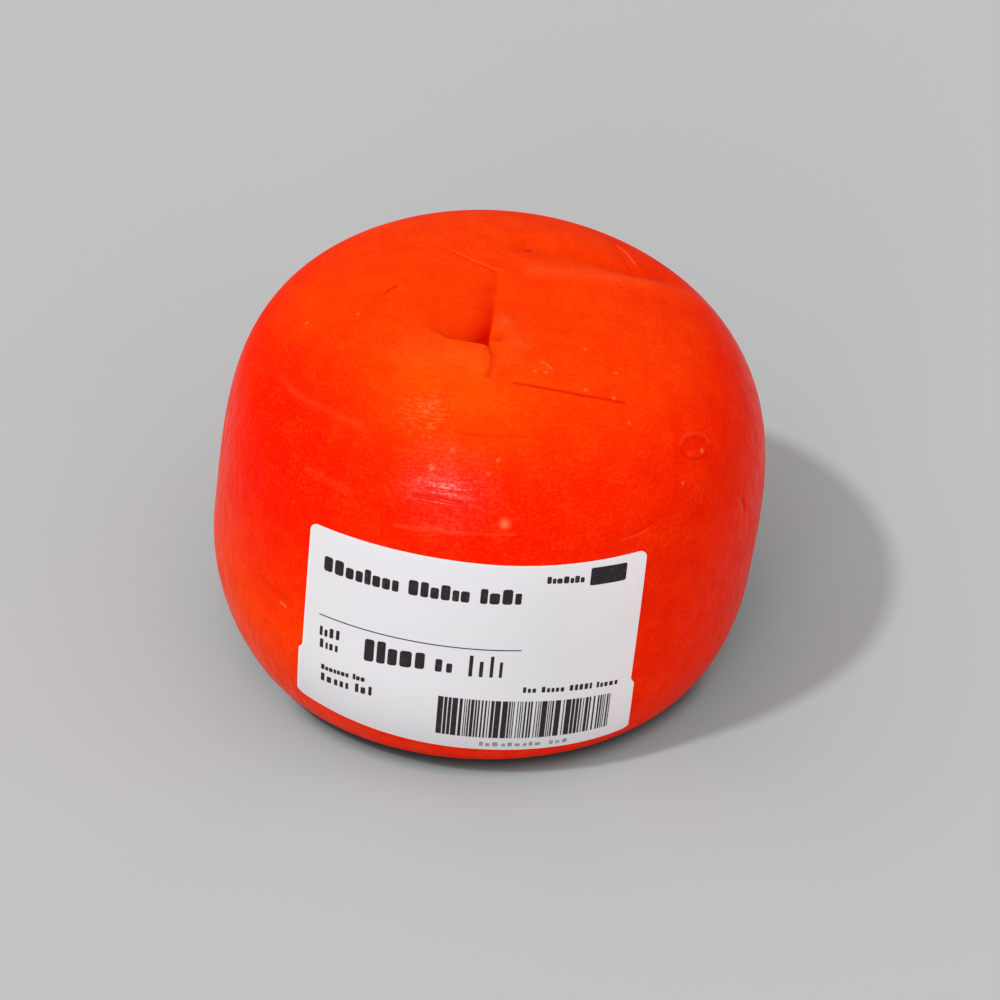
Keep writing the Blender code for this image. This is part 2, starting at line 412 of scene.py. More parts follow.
@dataclass(frozen=True)
class PrintInk:
    """Dark print on the label, a little uneven."""

    name: str = "label_ink"
    dark: Colour = (0.024, 0.018, 0.020)
    worn: Colour = (0.060, 0.050, 0.054)
    specular: float = 0.12

    def material(self) -> bpy.types.Material:
        """The ink's material."""
        surface = Surface(self.name)
        speck = surface.noise(surface.place(), 900.0, 4.0, 0.65)
        wear = surface.ramp(speck, 0.5, 0.75)
        return surface.finish(
            {
                "Base Color": surface.mix(wear, self.dark, self.worn),
                "Roughness": 0.5 + wear * 0.15,
                "Normal": surface.bump(speck * 0.008),
                "Specular IOR Level": self.specular,
            }
        )


@dataclass(frozen=True)
class GreyFloor:
    """The plain floor, a little cooler beside the ball to take back its red glow, and painted darker right
    under the ball's front as a contact shadow.

    The pairs are where an effect starts and where it is full: in metres from the ball's middle,
    or as the cosine of the angle from the label's side.
    """

    grey: Colour = (0.474, 0.476, 0.477)
    cool: Colour = (0.352, 0.476, 0.480)
    contact_shadow: Colour = (0.075, 0.094, 0.096)  # painted contact shadow, right under the ball's front
    near: float = 0.075  # where the glow is strongest, from the ball's middle
    fall: float = 3.2  # the power by which it falls off
    lit_glow: float = 0.75  # its strength on the lit left
    shaded_glow: float = 0.35  # how much stronger it is on the shaded right
    label_side: Point = (0.1, -0.995, 0.0)
    label_share: float = 0.9  # of the glow that the white label stops
    label_breadth: tuple[float, float] = (0.70, 0.98)
    label_reach: tuple[float, float] = (0.068, 0.085)
    contact_breadth: tuple[float, float] = (0.42, 0.66)
    contact_reach: tuple[float, float] = (0.073, 0.0645)

    def material(self) -> bpy.types.Material:
        """The floor's material."""
        surface = Surface("grey_floor")
        place = surface.place()
        away = surface.vector("LENGTH", place, output="Value")
        level = surface.vector("NORMALIZE", place)
        toward = surface.vector("DOT_PRODUCT", level, self.label_side, "Value")
        glow = surface.math("POWER", surface.math("DIVIDE", self.near, away), self.fall)
        stopped = surface.ramp(toward, *self.label_breadth) * surface.ramp(away, *self.label_reach)
        glow = glow * (1 - stopped * self.label_share)
        glow = glow * (surface.ramp(surface.part(level, "X"), -0.9, 0.9) * self.shaded_glow + self.lit_glow)
        # Painted contact shadow right under the ball's front.
        under = surface.ramp(away, *self.contact_reach) * surface.ramp(toward, *self.contact_breadth)
        colour = surface.mix(under, surface.mix(glow, self.grey, self.cool), self.contact_shadow)
        return surface.finish({"Base Color": colour, "Roughness": 0.9, "Specular IOR Level": 0.0})


@dataclass(frozen=True)
class Ball:
    """The ball's smooth form: a squashed globe whose axis leans, flattened by the floor."""

    radius: float = 77.5 * MM
    centre_height: float = 35.0 * MM
    crown_height: float = 81.0 * MM
    belly_depth: float = 68.9 * MM
    lean: float = math.radians(7.0)
    crown_power: float = 3.5
    belly_power: float = 2.03
    soft_shoulder: float = 0.73
    soft_side: float = math.radians(-114.0)
    oval: float = 0.018
    oval_side: float = math.radians(53.6)
    triangle: float = 0.0143
    triangle_side: float = math.radians(-41.7)
    floor_sink: float = 1.2 * MM
    heel_power: float = 16.0

    @property
    def centre(self) -> np.ndarray:
        """The point that the ball is measured from."""
        return np.array([0.0, 0.0, self.centre_height])

    def reach(self, v: np.ndarray) -> np.ndarray:
        """1 on the ball's surface and more outside it, for vectors from the ball's centre."""
        c, s = math.cos(self.lean), math.sin(self.lean)
        x = v[..., 0] * c - v[..., 2] * s
        y = v[..., 1]
        z = v[..., 0] * s + v[..., 2] * c
        side = np.arctan2(y, x)
        upper = z >= 0
        height = np.where(upper, self.crown_height, self.belly_depth)
        shoulder = self.crown_power + self.soft_shoulder * np.cos(side - self.soft_side)
        power = np.where(upper, shoulder, self.belly_power)
        oval = self.oval * np.cos(2 * (side - self.oval_side))
        triangle = self.triangle * np.cos(3 * (side - self.triangle_side))
        radius = self.radius * (1 + oval + triangle)
        ball = ((np.hypot(x, y) / radius) ** power + (np.abs(z) / height) ** power) ** (1 / power)
        floor = np.maximum(-v[..., 2], 0) / (self.centre_height + self.floor_sink)
        return (ball**self.heel_power + floor**self.heel_power) ** (1 / self.heel_power)

    def on(self, points: Any) -> np.ndarray:
        """The points moved along their rays from the centre, on to the ball."""
        v = np.asarray(points, float) - self.centre
        return self.centre + v / self.reach(v)[..., None]

    def normals(self, points: np.ndarray) -> np.ndarray:
        """The ball's outward normals at points on it."""
        v = points - self.centre
        slopes = [self.reach(v + step) - self.reach(v - step) for step in np.eye(3) * 1e-6]
        return unit(np.stack(slopes, -1))

    def walk(
        self, points: np.ndarray, heading: np.ndarray, distance: np.ndarray, steps: int = 12
    ) -> tuple[np.ndarray, np.ndarray]:
        """Carries points straight ahead over the ball.

        Args:
            points: Where they start.
            heading: Their unit headings.
            distance: How far each goes, less than 0 for backwards.
            steps: How many steps the way is cut into.

        Returns:
            The points, and the headings that they arrive with.
        """
        sign = np.where(distance < 0, -1.0, 1.0)[..., None]
        heading = heading * sign
        step = np.abs(distance)[..., None] / steps
        for _ in range(steps):
            points = self.on(points + heading * step)
            out = self.normals(points)
            heading = unit(heading - (heading * out).sum(-1, keepdims=True) * out)
        return points, heading * sign

    def gaps(self, points: np.ndarray, line: Sequence[Point]) -> np.ndarray:
        """How far points are from a line on the crown, in millimetres.

        Args:
            points: The points, in metres.
            line: The line's points, in millimetres.

        Returns:
            The distances, less than 0 on the right of the line.
        """
        line = self.on(np.array(line) * MM)
        best = np.full(points.shape[:-1], np.inf)
        for start, end in zip(line[:-1], line[1:]):
            run = end - start
            share = np.clip((points - start) @ run / (run @ run), 0, 1)
            off = points - start - share[..., None] * run
            gap = np.linalg.norm(off, axis=-1)
            left = run[0] * off[..., 1] - run[1] * off[..., 0]
            best = np.where(gap < np.abs(best), np.where(left < 0, -gap, gap), best)
        return best / MM


FOLD_MEETING = (1.0, -28.9, 116.1)


@dataclass(frozen=True)
class Groove:
    """A line pressed into the rind, or raised if depth is less than 0; in millimetres."""

    line: tuple[Point, ...]
    depth: float
    half_width: float
    stain_and_shade: float = 0.0  # share of the dark colour: real stains, and painted shade in the folds and beside raised lines
    pale: float = 0.0  # share of the pale colour: real scuffs, and painted highlights on lips, ridges, bumps and specks

    def span(self) -> float:
        """How far the form can be felt from its line, in millimetres."""
        return 2.6 * self.half_width

    def share(self, points: np.ndarray, ball: Ball) -> np.ndarray:
        """1 in the middle of the groove, falling to 0 beside it."""
        return np.exp(-((ball.gaps(points, self.line) / self.half_width) ** 2))


@dataclass(frozen=True)
class Mound(Groove):
    """A soft rise about one point, or a hollow if depth is more than 0; in millimetres."""

    def share(self, points: np.ndarray, ball: Ball) -> np.ndarray:
        """1 at the top of the mound, falling to 0 beside it."""
        gap = np.linalg.norm(points - ball.on(np.array(self.line[0]) * MM), axis=-1) / MM
        return np.exp(-((gap / self.half_width) ** 2))


@dataclass(frozen=True)
class Tuck(Groove):
    """A hollow tucked under two lips, deepest where they meet, on the left of both lines."""

    other_line: tuple[Point, ...] = ()
    wall: float = 0.9
    other_wall: float = 1.5  # wider farther out
    fall: float = 1.0
    reach: float = 0.0  # how far it goes from the first line, if it hugs that line

    def span(self) -> float:
        """How far the hollow can be felt from its line, in millimetres."""
        return 5.0 * self.half_width

    def share(self, points: np.ndarray, ball: Ball) -> np.ndarray:
        """1 where the lips meet, falling to 0 away from there and beyond the lips."""
        away = np.linalg.norm(points - ball.on(np.array(FOLD_MEETING) * MM), axis=-1) / MM
        gap = ball.gaps(points, self.line)
        widened = ball.gaps(points, self.other_line) / (0.4 + away / 9.0)
        inside = smooth(gap, 0, self.wall) * smooth(widened, 0, self.other_wall)
        if self.reach:
            inside = inside * np.exp(-((gap / self.reach) ** 2))
        return inside * np.exp(-((away / self.half_width) ** self.fall))


CREASE = (
    FOLD_MEETING,
    (1.1, -25.7, 116.2),
    (2.0, -17.7, 116.3),
    (2.5, -11.9, 116.3),
    (3.0, -4.7, 116.2),
    (4.0, 1.5, 116.1),
    (4.4, 8.8, 116.0),
)
LEDGE = (
    (-34.0, -15.5, 118.2),
    (-24.6, -17.4, 118.5),
    (-18.7, -20.2, 118.2),
    (-14.5, -25.0, 117.7),
    (-11.0, -27.2, 117.3),
    (-6.5, -27.6, 116.9),
    (-1.7, -28.1, 116.4),
    FOLD_MEETING,
)
PILLOW_END = (FOLD_MEETING, (2.0, -32.5, 115.8), (1.7, -36.2, 115.5), (0.7, -40.2, 115.1))
FINE_CREASE = ((7.4, -41.9, 114.1), (15.7, -42.4, 112.8), (25.0, -43.0, 110.9), (37.0, -42.2, 107.7))
VALLEY = (
    (17.0, 20.0, 113.6),
    (25.2, 20.5, 112.2),
    (34.3, 18.1, 110.5),
    (44.7, 18.1, 107.1),
    (50.5, 21.2, 104.3),
)
RIDGE = (
    (13.4, 8.8, 114.9),
    (31.4, 10.3, 111.9),
    (41.1, 11.8, 109.1),
    (48.8, 14.7, 105.7),
    (61.0, 17.5, 96.0),
)
FRONT_FOLD = ((-24.0, -69.2, 87.3), (-14.8, -71.8, 87.7), (-6.8, -73.2, 87.7), (7.6, -73.5, 87.7))
LEFT_FOLD = ((-55.0, -29.7, 106.8), (-52.1, -35.4, 106.7), (-47.0, -41.6, 107.2), (-33.0, -52.6, 107.6))
RING_TOP = (
    (52.1, -46.1, 97.0),
    (53.2, -43.8, 97.6),
    (55.8, -41.3, 96.7),
    (58.6, -39.6, 94.8),
    (60.0, -40.3, 92.5),
)
RING_TOP_SHADE = ((53.0, -45.9, 96.4), (54.2, -43.8, 96.7), (56.4, -42.0, 95.8), (58.6, -40.9, 94.0))
RING_LOW = ((52.6, -48.1, 94.8), (54.6, -47.7, 92.8), (57.4, -45.6, 91.2), (59.7, -42.4, 91.1))
SHOULDER_SCRATCH = ((-7.6, -58.1, 109.6), (-2.3, -58.8, 109.2), (5.5, -58.6, 108.7), (10.3, -58.4, 108.2))
GLOSS_SCRATCH = ((-16.0, -67.4, 98.3), (-10.7, -68.5, 98.1), (-5.5, -69.2, 98.0), (-1.6, -69.5, 97.9))
CORNER_SCRATCH = ((37.7, -66.8, 81.4), (40.9, -64.9, 81.8), (43.7, -63.1, 82.4), (45.0, -62.1, 82.9))
# The folds' stains are painted shade in the tucked hollow, along the ledge, at the pillow's end, in the
# valley and in the dents; their pale shares are painted light on the lips, the pillow and the ridge, and a
# painted glint on the small bump at the front.
FOLDS = (
    Tuck(CREASE, 3.4, 11.0, 0.95, other_line=LEDGE, other_wall=2.0),
    Tuck(CREASE, 1.1, 26.0, 0.75, other_line=LEDGE, other_wall=1.5, fall=2.0, reach=4.0),
    Tuck(LEDGE, 0.5, 24.0, 0.14, other_line=CREASE, wall=3.2, fall=2.0, reach=4.5),
    Groove(((-20.0, -32.5, 117.3), (-8.3, -33.5, 116.8), (-3.0, -34.0, 116.2)), -0.9, 5.5, pale=0.04),
    Groove(PILLOW_END, 0.5, 0.8, 0.4),
    Groove(((5.3, -16.3, 115.9), (7.4, -27.0, 115.5), (6.0, -33.7, 115.3)), -0.8, 3.2, pale=0.04),
    Mound(((9.1, -26.7, 115.3),), -0.5, 2.4, pale=0.10),
    Mound(((5.3, -17.9, 115.9),), -0.5, 2.4, pale=0.10),
    Mound(((3.7, -24.2, 116.0),), 0.8, 1.7, 0.45),
    Mound(((5.0, -38.5, 114.9),), 0.3, 2.0, 0.2),
    Groove(FINE_CREASE, 0.35, 1.1),
    Groove(VALLEY, 0.8, 3.4, 0.12),
    Groove(RIDGE, -0.6, 3.0, pale=0.10),
    Mound(((9.6, 22.0, 114.5),), 0.8, 4.2, 0.30),
    Mound(((5.0, -72.8, 90.5),), -0.6, 1.2, pale=0.85),
    Groove(FRONT_FOLD, -0.3, 1.6),
    Groove(LEFT_FOLD, -0.3, 1.6),
)
# Fine crown marks: real scratches, dashes and spots, with painted light on their raised sides and painted
# shade beside them; the fine crease is darkened with painted shade.
CROWN_MARKS = (
    Groove(((-9.4, 15.5, 117.1), (-2.9, 10.9, 116.8), (4.0, 7.4, 116.1)), -0.06, 0.35, pale=0.20),
    Groove(((-9.6, 14.6, 117.2), (-3.4, 10.0, 116.9), (2.6, 6.7, 116.2)), 0.05, 0.35, 0.30),
    Groove(((-20.8, 20.5, 116.9), (-15.7, 18.7, 117.1), (-11.0, 15.6, 117.2)), 0.05, 0.45, 0.2),
    Groove(FINE_CREASE, 0.15, 0.40, 0.85),
    Groove(((-27.6, -7.1, 118.7), (-26.0, -4.9, 118.7), (-24.2, -3.9, 118.7)), 0.1, 0.4, 0.7),
    Mound(((-23.0, -4.8, 118.7),), -0.05, 0.8, pale=0.12),
    Groove(((36.7, 34.0, 106.1), (38.9, 30.7, 106.2), (41.5, 23.6, 107.1)), -0.10, 0.35, pale=0.55),
    Groove(((35.2, 31.6, 107.4), (37.9, 25.8, 107.9), (40.0, 19.6, 108.4)), 0.10, 0.35, 0.3),
    Mound(((11.8, 20.0, 114.5),), 0.1, 1.1, 0.6),
)
# Side marks: real scratches, stains and a ring imprint, with painted light on raised lines, the ring's top
# and specks, and painted shade beside them and along the ring's lower edge.
SIDE_MARKS = (
    Groove(SHOULDER_SCRATCH, 0.08, 0.3, 0.4),
    Groove(GLOSS_SCRATCH, 0.1, 0.3, 0.3),
    Groove(((-19.5, -67.6, 96.1), (-13.4, -69.1, 96.0), (-6.8, -70.4, 95.6)), 0.2, 0.5, 0.6),
    Groove(FRONT_FOLD, -0.08, 0.5, pale=0.12),
    Groove(((36.1, -67.7, 81.0), (40.4, -65.4, 80.9), (43.1, -63.7, 81.2)), -0.08, 0.45, pale=0.10),
    Groove(CORNER_SCRATCH, 0.10, 0.35, 0.4),
    Groove(((32.8, -58.9, 100.7), (43.5, -54.6, 97.4)), 0.08, 0.5, 0.2),
    Mound(((-14.2, -64.6, 103.1),), -0.15, 0.8, pale=0.4),
    Groove(LEFT_FOLD, -0.12, 1.1, pale=0.07),
    Groove(((-47.8, -52.9, 93.1), (-42.3, -57.4, 93.2), (-36.8, -61.3, 92.8)), -0.10, 1.2, pale=0.05),
    Groove(((-47.2, -52.6, 94.8), (-41.2, -57.4, 94.9)), 0.06, 0.9, 0.12),
    Groove(((-65.2, -43.1, 50.8), (-58.7, -51.4, 51.5), (-53.6, -56.6, 50.5)), 0.1, 1.3, 0.16),
    Groove(((-56.2, -54.4, 48.5), (-54.8, -55.7, 48.3)), -0.12, 0.4, pale=0.6),
    Groove(((69.9, -36.4, 70.0), (70.9, -34.9, 66.0)), 0.3, 0.9, 0.5),
    Groove(RING_TOP, -0.10, 0.5, pale=0.10),
    Groove(RING_TOP_SHADE, 0.08, 0.5, 0.25),
    Groove(RING_LOW, 0.15, 0.6, 0.45),
    Mound(((58.0, -43.6, 92.4),), -0.2, 0.6, pale=0.65),
    Mound(((54.6, -47.0, 94.0),), -0.1, 0.6, pale=0.12),
)
# Pale specks, which are painted as small glints of light.
SPECKS = (
    (16.4, -33.9, 113.8),
    (15.2, -32.9, 114.1),
    (13.0, -36.9, 114.0),
    (17.3, -34.9, 113.6),
    (16.0, -36.7, 113.6),
    (26.6, -41.2, 111.0),
    (34.1, -41.7, 108.8),
    (26.6, -25.1, 112.8),
    (34.8, -32.7, 110.3),
    (38.0, -48.1, 105.1),
    (52.6, -53.0, 88.8),
    (-48.6, -15.5, 114.5),
    (-34.7, -16.3, 118.1),
    (0.6, -66.6, 102.3),
    (3.2, -64.0, 104.9),
    (-8.6, -62.0, 106.7),
)


@dataclass
class WaxBall:
    """The whole cheese as seen: the ball's form with its folds, lips, dents and fine marks."""

    ball: Ball
    segments: int = 340
    rings: int = 210
    pole_closeness: float = 0.55
    foot_ray: float = math.radians(124.0)  # rays below this angle only meet the floor
    foot_rings: float = 0.04  # share of the rings given to them
    fine_form: float = 1.3  # forms narrower than this have a finer mesh beside them
    fine_edge: float = 0.33 * MM
    fine_cuts: int = 3
    forms: tuple[Groove, ...] = FOLDS + CROWN_MARKS + SIDE_MARKS
    specks: tuple[Point, ...] = SPECKS

    def __post_init__(self) -> None:
        """Adds the specks, painted as small glints of light, to the forms."""
        self.forms += tuple(Mound((speck,), -0.08, 0.45, pale=0.55) for speck in self.specks)

    def share(self, form: Groove, points: np.ndarray) -> np.ndarray:
        """A form's share at each point, worked out only where it isn't nothing."""
        line = self.ball.on(np.array(form.line) * MM)
        middle = line.mean(0)
        span = np.linalg.norm(line - middle, axis=1).max() + form.span() * MM
        near = np.linalg.norm(points - middle, axis=1) < span
        share = np.zeros(len(points))
        share[near] = form.share(points[near], self.ball)
        return share

    def rays(self, globe: np.ndarray) -> np.ndarray:
        """Turns a globe's points into rays that are closer about the folds and sparse underneath."""
        share = np.arccos(np.clip(globe[:, 2], -1, 1)) / math.pi
        upper = np.minimum(share / (1 - self.foot_rings), 1)
        lower = np.maximum(share - 1 + self.foot_rings, 0) / self.foot_rings
        polar = self.foot_ray * upper * (self.pole_closeness + (1 - self.pole_closeness) * upper)
        polar += (math.pi - self.foot_ray) * lower
        side = np.arctan2(globe[:, 1], globe[:, 0])
        rays = np.stack([np.sin(polar) * np.cos(side), np.sin(polar) * np.sin(side), np.cos(polar)], -1)
        pull = unit(np.array(FOLD_MEETING) * MM - self.ball.centre) - (0, 0, 1)
        return rays + pull * ((1 + np.cos(polar[:, None])) / 2) ** 2

    def cut_finer(self, bm: bmesh.types.BMesh) -> None:
        """Halves the long edges beside the narrow forms, as often as the cuts say."""
        narrow = [form for form in self.forms if form.half_width < self.fine_form]
        for _ in range(self.fine_cuts):
            bm.verts.index_update()
            bm.edges.index_update()
            points = np.array([vert.co for vert in bm.verts])
            beside = np.zeros(len(points), bool)
            for form in narrow:
                beside |= self.share(form, points) > 0.02
            near = {vert for vert, wanted in zip(bm.verts, beside) if wanted}
            edges = {edge for vert in near for edge in vert.link_edges}
            long = [edge for edge in edges if edge.calc_length() > self.fine_edge]
            long.sort(key=lambda edge: edge.index)
            bmesh.ops.subdivide_edges(bm, edges=long, cuts=1, use_grid_fill=True)

    def build(self) -> bpy.types.Object:
        """Makes the rind's mesh and object."""
        bm = bmesh.new()
        bmesh.ops.create_uvsphere(bm, u_segments=self.segments, v_segments=self.rings, radius=1.0)
        globe = np.array([vert.co for vert in bm.verts])
        for vert, place in zip(bm.verts, self.ball.on(self.ball.centre + self.rays(globe))):
            vert.co = place
        self.cut_finer(bm)
        base = self.ball.on([vert.co for vert in bm.verts])
        mesh = bpy.data.meshes.new("rind_ball")
        bm.to_mesh(mesh)
        bm.free()
        rise, stain_and_shade, pale = np.zeros((3, len(base)))
        for form in self.forms:
            share = self.share(form, base)
            rise -= form.depth * MM * share
            stain_and_shade += form.stain_and_shade * share
            pale += form.pale * share
        places = base + self.ball.normals(base) * rise[:, None]
        places[:, 2] = np.maximum(places[:, 2], 0.0)
        mesh.vertices.foreach_set("co", places.ravel())
        # The stored stain holds real stains and painted shade; the stored pale holds real scuffs and painted
        # highlights and glints.
        store(mesh, "stain_and_shade", stain_and_shade)
        store(mesh, "pale", pale)
        mesh.materials.append(WaxedRind().material())
        mesh.shade_smooth()
        made = add("rind_ball", mesh)
        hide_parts("cheese")
        return made


@dataclass(frozen=True)
class Block:
    """A rounded block of print; its place and sizes are in millimetres on the flat label."""

    left: float
    low: float
    width: float
    height: float
    corner: float = 0.0
    slope: float = 0.0  # rise for each millimetre across


@dataclass
class PaperLabel:
    """The stuck-on label: a thin curved sheet, laid on the ball from its middle, and its print."""

    ball: Ball
    side: float = math.radians(-4.1)
    middle_height: float = 45.5 * MM
    turn: float = math.radians(4.4)
    width: float = 95.4
    height: float = 68.0
    left_flare: float = 0.03
    right_flare: float = 0.13
    end_drop: float = 1.3
    corner: float = 2.5
    step: float = 1.2
    step_height: float = -9.0
    step_length: float = 2.0
    gap: float = 0.12
    paper: float = 0.26
    ink: float = 0.03
    cut_edge: float = 0.6

    def __post_init__(self) -> None:
        """Finds the label's middle and its upward heading on the ball."""
        front = np.array([math.sin(self.side), -math.cos(self.side)]) * self.ball.radius
        middle = self.ball.on([front[0], front[1], self.middle_height])
        for _ in range(5):
            middle = self.ball.on([middle[0], middle[1], self.middle_height])
        out = self.ball.normals(middle)
        level = unit(np.cross([0.0, 0.0, 1.0], out))
        self.middle = middle
        self.heading = math.sin(self.turn) * level + math.cos(self.turn) * np.cross(out, level)

    def lay(self, across: np.ndarray, up: np.ndarray) -> tuple[np.ndarray, np.ndarray]:
        """Lays points of the flat label on the ball.

        Args:
            across: Millimetres to the right of the label's middle.
            up: Millimetres above it.

        Returns:
            The places in metres, and the normals there.
        """
        flare = np.where(across < 0, self.left_flare, self.right_flare)
        end_share = (2 * across / self.width) ** 2
        lifted = up * (1 + flare * end_share) - self.end_drop * end_share
        points = np.broadcast_to(self.middle, across.shape + (3,))
        points, heading = self.ball.walk(points, np.broadcast_to(self.heading, points.shape), lifted * MM)
        points, _ = self.ball.walk(points, np.cross(heading, self.ball.normals(points)), across * MM)
        return points, self.ball.normals(points)

    def slab(self, across: np.ndarray, up: np.ndarray, low: float, high: float) -> Slab:
        """A closed curved slab over a grid of the flat label.

        Args:
            across: The grid's millimetres across, rows by columns.
            up: The grid's millimetres up.
            low: The slab's underside, in millimetres off the ball.
            high: Its top side.

        Returns:
            The slab's points in metres and its four-sided faces.
        """
        places, out = self.lay(across, up)
        rows, columns = across.shape
        points = np.concatenate([(places + out * h * MM).reshape(-1, 3) for h in (high, low)])
        index = np.arange(rows * columns).reshape(rows, columns)
        top = np.stack([index[:-1, :-1], index[:-1, 1:], index[1:, 1:], index[1:, :-1]], -1).reshape(-1, 4)
        under = top[:, ::-1] + rows * columns
        rim = np.concatenate([index[0], index[1:, -1], index[-1, -2::-1], index[-2:0:-1, 0]])
        after = np.roll(rim, -1)
        wall = np.stack([after, rim, rim + rows * columns, after + rows * columns], -1)
        return points, np.concatenate([top, under, wall])

    def half_width(self, up: float) -> float:
        """Half of the label's width at a height, in millimetres."""
        share = (self.step_height - up) / self.step_length + 0.5
        half = self.width / 2 + self.step * min(max(share, 0.0), 1.0)
        into_corner = max(abs(up) - self.height / 2 + self.corner, 0.0)
        return half - self.corner + math.sqrt(max(self.corner**2 - into_corner**2, 0.0))

    def rows(self, middle_rows: int = 44, corner_rows: int = 8) -> list[float]:
        """Heights of the sheet's rows, closer in the rounded corners and at the step."""
        top = self.height / 2
        bend = [self.corner * (1 - math.sin(math.pi / 2 * i / corner_rows)) for i in range(corner_rows + 1)]
        ends = [top - drop for drop in bend] + [drop - top for drop in bend]
        middle = np.linspace(self.corner - top, top - self.corner, middle_rows + 1)[1:-1]
        step = [self.step_height + self.step_length * share for share in (-0.5, -0.25, 0.25, 0.5)]
        clear = [up for up in middle if abs(up - self.step_height) > self.step_length * 0.8]
        return sorted({round(up, 6) for up in ends + clear + step})

    def sheet(self, columns: int = 64) -> bpy.types.Object:
        """Makes the paper itself."""
        rows = self.rows()
        share = np.sin(np.linspace(-1, 1, columns + 1) * math.pi / 2 * 0.9) / math.sin(math.pi / 2 * 0.9)
        half = np.array([self.half_width(up) for up in rows])
        across = half[:, None] * share[None, :]
        up = np.repeat(np.array(rows)[:, None], columns + 1, axis=1)
        points, faces = self.slab(across, up, self.gap, self.gap + self.paper)
        made = self.piece("paper_label", [(points, faces)], LabelPaper().material())
        # The stored edge marks the rim for its painted highlight.
        from_side = (1 - np.abs(share)[None, :]) * half[:, None]
        from_end = self.height / 2 - np.abs(up)
        nearest = np.minimum(from_side, from_end).ravel()
        edge = 1 - nearest / self.cut_edge
        store(made.data, "edge", np.concatenate([edge, np.ones_like(edge)]))
        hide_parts("label")
        return made

    def block(self, block: Block, cell: float = 2.0, bend: int = 4) -> Slab:
        """The slab of one rounded block of print."""
        corner = min(block.corner, block.height / 2, block.width / 2)
        turns = range(bend + 1) if corner else range(1)
        drops = [corner * (1 - math.sin(math.pi / 2 * turn / bend)) for turn in turns]
        flat = max(block.height - 2 * corner, 0.0)
        count = max(math.ceil(flat / cell), 1)
        heights = [corner + flat * i / count for i in range(count + 1)]
        heights += drops + [block.height - drop for drop in drops]
        heights = np.array(sorted({round(h, 5) for h in heights}))
        into = np.maximum(corner - np.minimum(heights, block.height - heights), 0)
        inset = corner - np.sqrt(np.maximum(corner**2 - into**2, 0))
        columns = max(math.ceil(block.width / cell), 1)
        share = np.linspace(-1, 1, columns + 1)
        across = block.left + block.width / 2 + (block.width / 2 - inset)[:, None] * share[None, :]
        up = block.low + heights[:, None] + block.slope * (across - block.left)
        top = self.gap + self.paper
        return self.slab(across, up, top - self.ink / 2, top + self.ink)

    def piece(self, name: str, slabs: Iterable[Slab], material: bpy.types.Material) -> bpy.types.Object:
        """Joins slabs into one object."""
        points, faces, count = [], [], 0
        for slab_points, slab_faces in slabs:
            points.append(slab_points)
            faces.append(slab_faces + count)
            count += len(slab_points)
        mesh = bpy.data.meshes.new(name)
        mesh.from_pydata(np.concatenate(points).tolist(), [], np.concatenate(faces).tolist())
        mesh.materials.append(material)
        mesh.shade_smooth()
        mesh.set_sharp_from_angle(angle=math.radians(40))
        return add(name, mesh)


@dataclass(frozen=True)
class WordLine:
    """A line of wordlike rows of small blocks; in millimetres on the flat label."""

    left: float
    right: float
    low: float
    tall: float
    words: tuple[int, ...]
    slope: float = 0.0
    weight: float = 0.75  # share of a letter's room that its block fills

    def blocks(self, draw: np.random.Generator) -> list[Block]:
        """The line's blocks, of uneven widths and heights."""
        count = sum(self.words) + 0.8 * (len(self.words) - 1)
        room = (self.right - self.left) / count
        made = []
        at = self.left
        for word in self.words:
            widths = draw.uniform(0.75, 1.25, word)
            widths *= word / widths.sum()
            for number, width in enumerate(widths):
                tall = self.tall * (1.0 if number == 0 or draw.random() < 0.3 else 0.74)
                low = self.low + self.slope * (at - self.left)
                size = width * room * self.weight
                made.append(Block(at, low, size, tall, min(size, tall) * 0.28, self.slope))
                at += width * room
            at += 0.8 * room
        return made


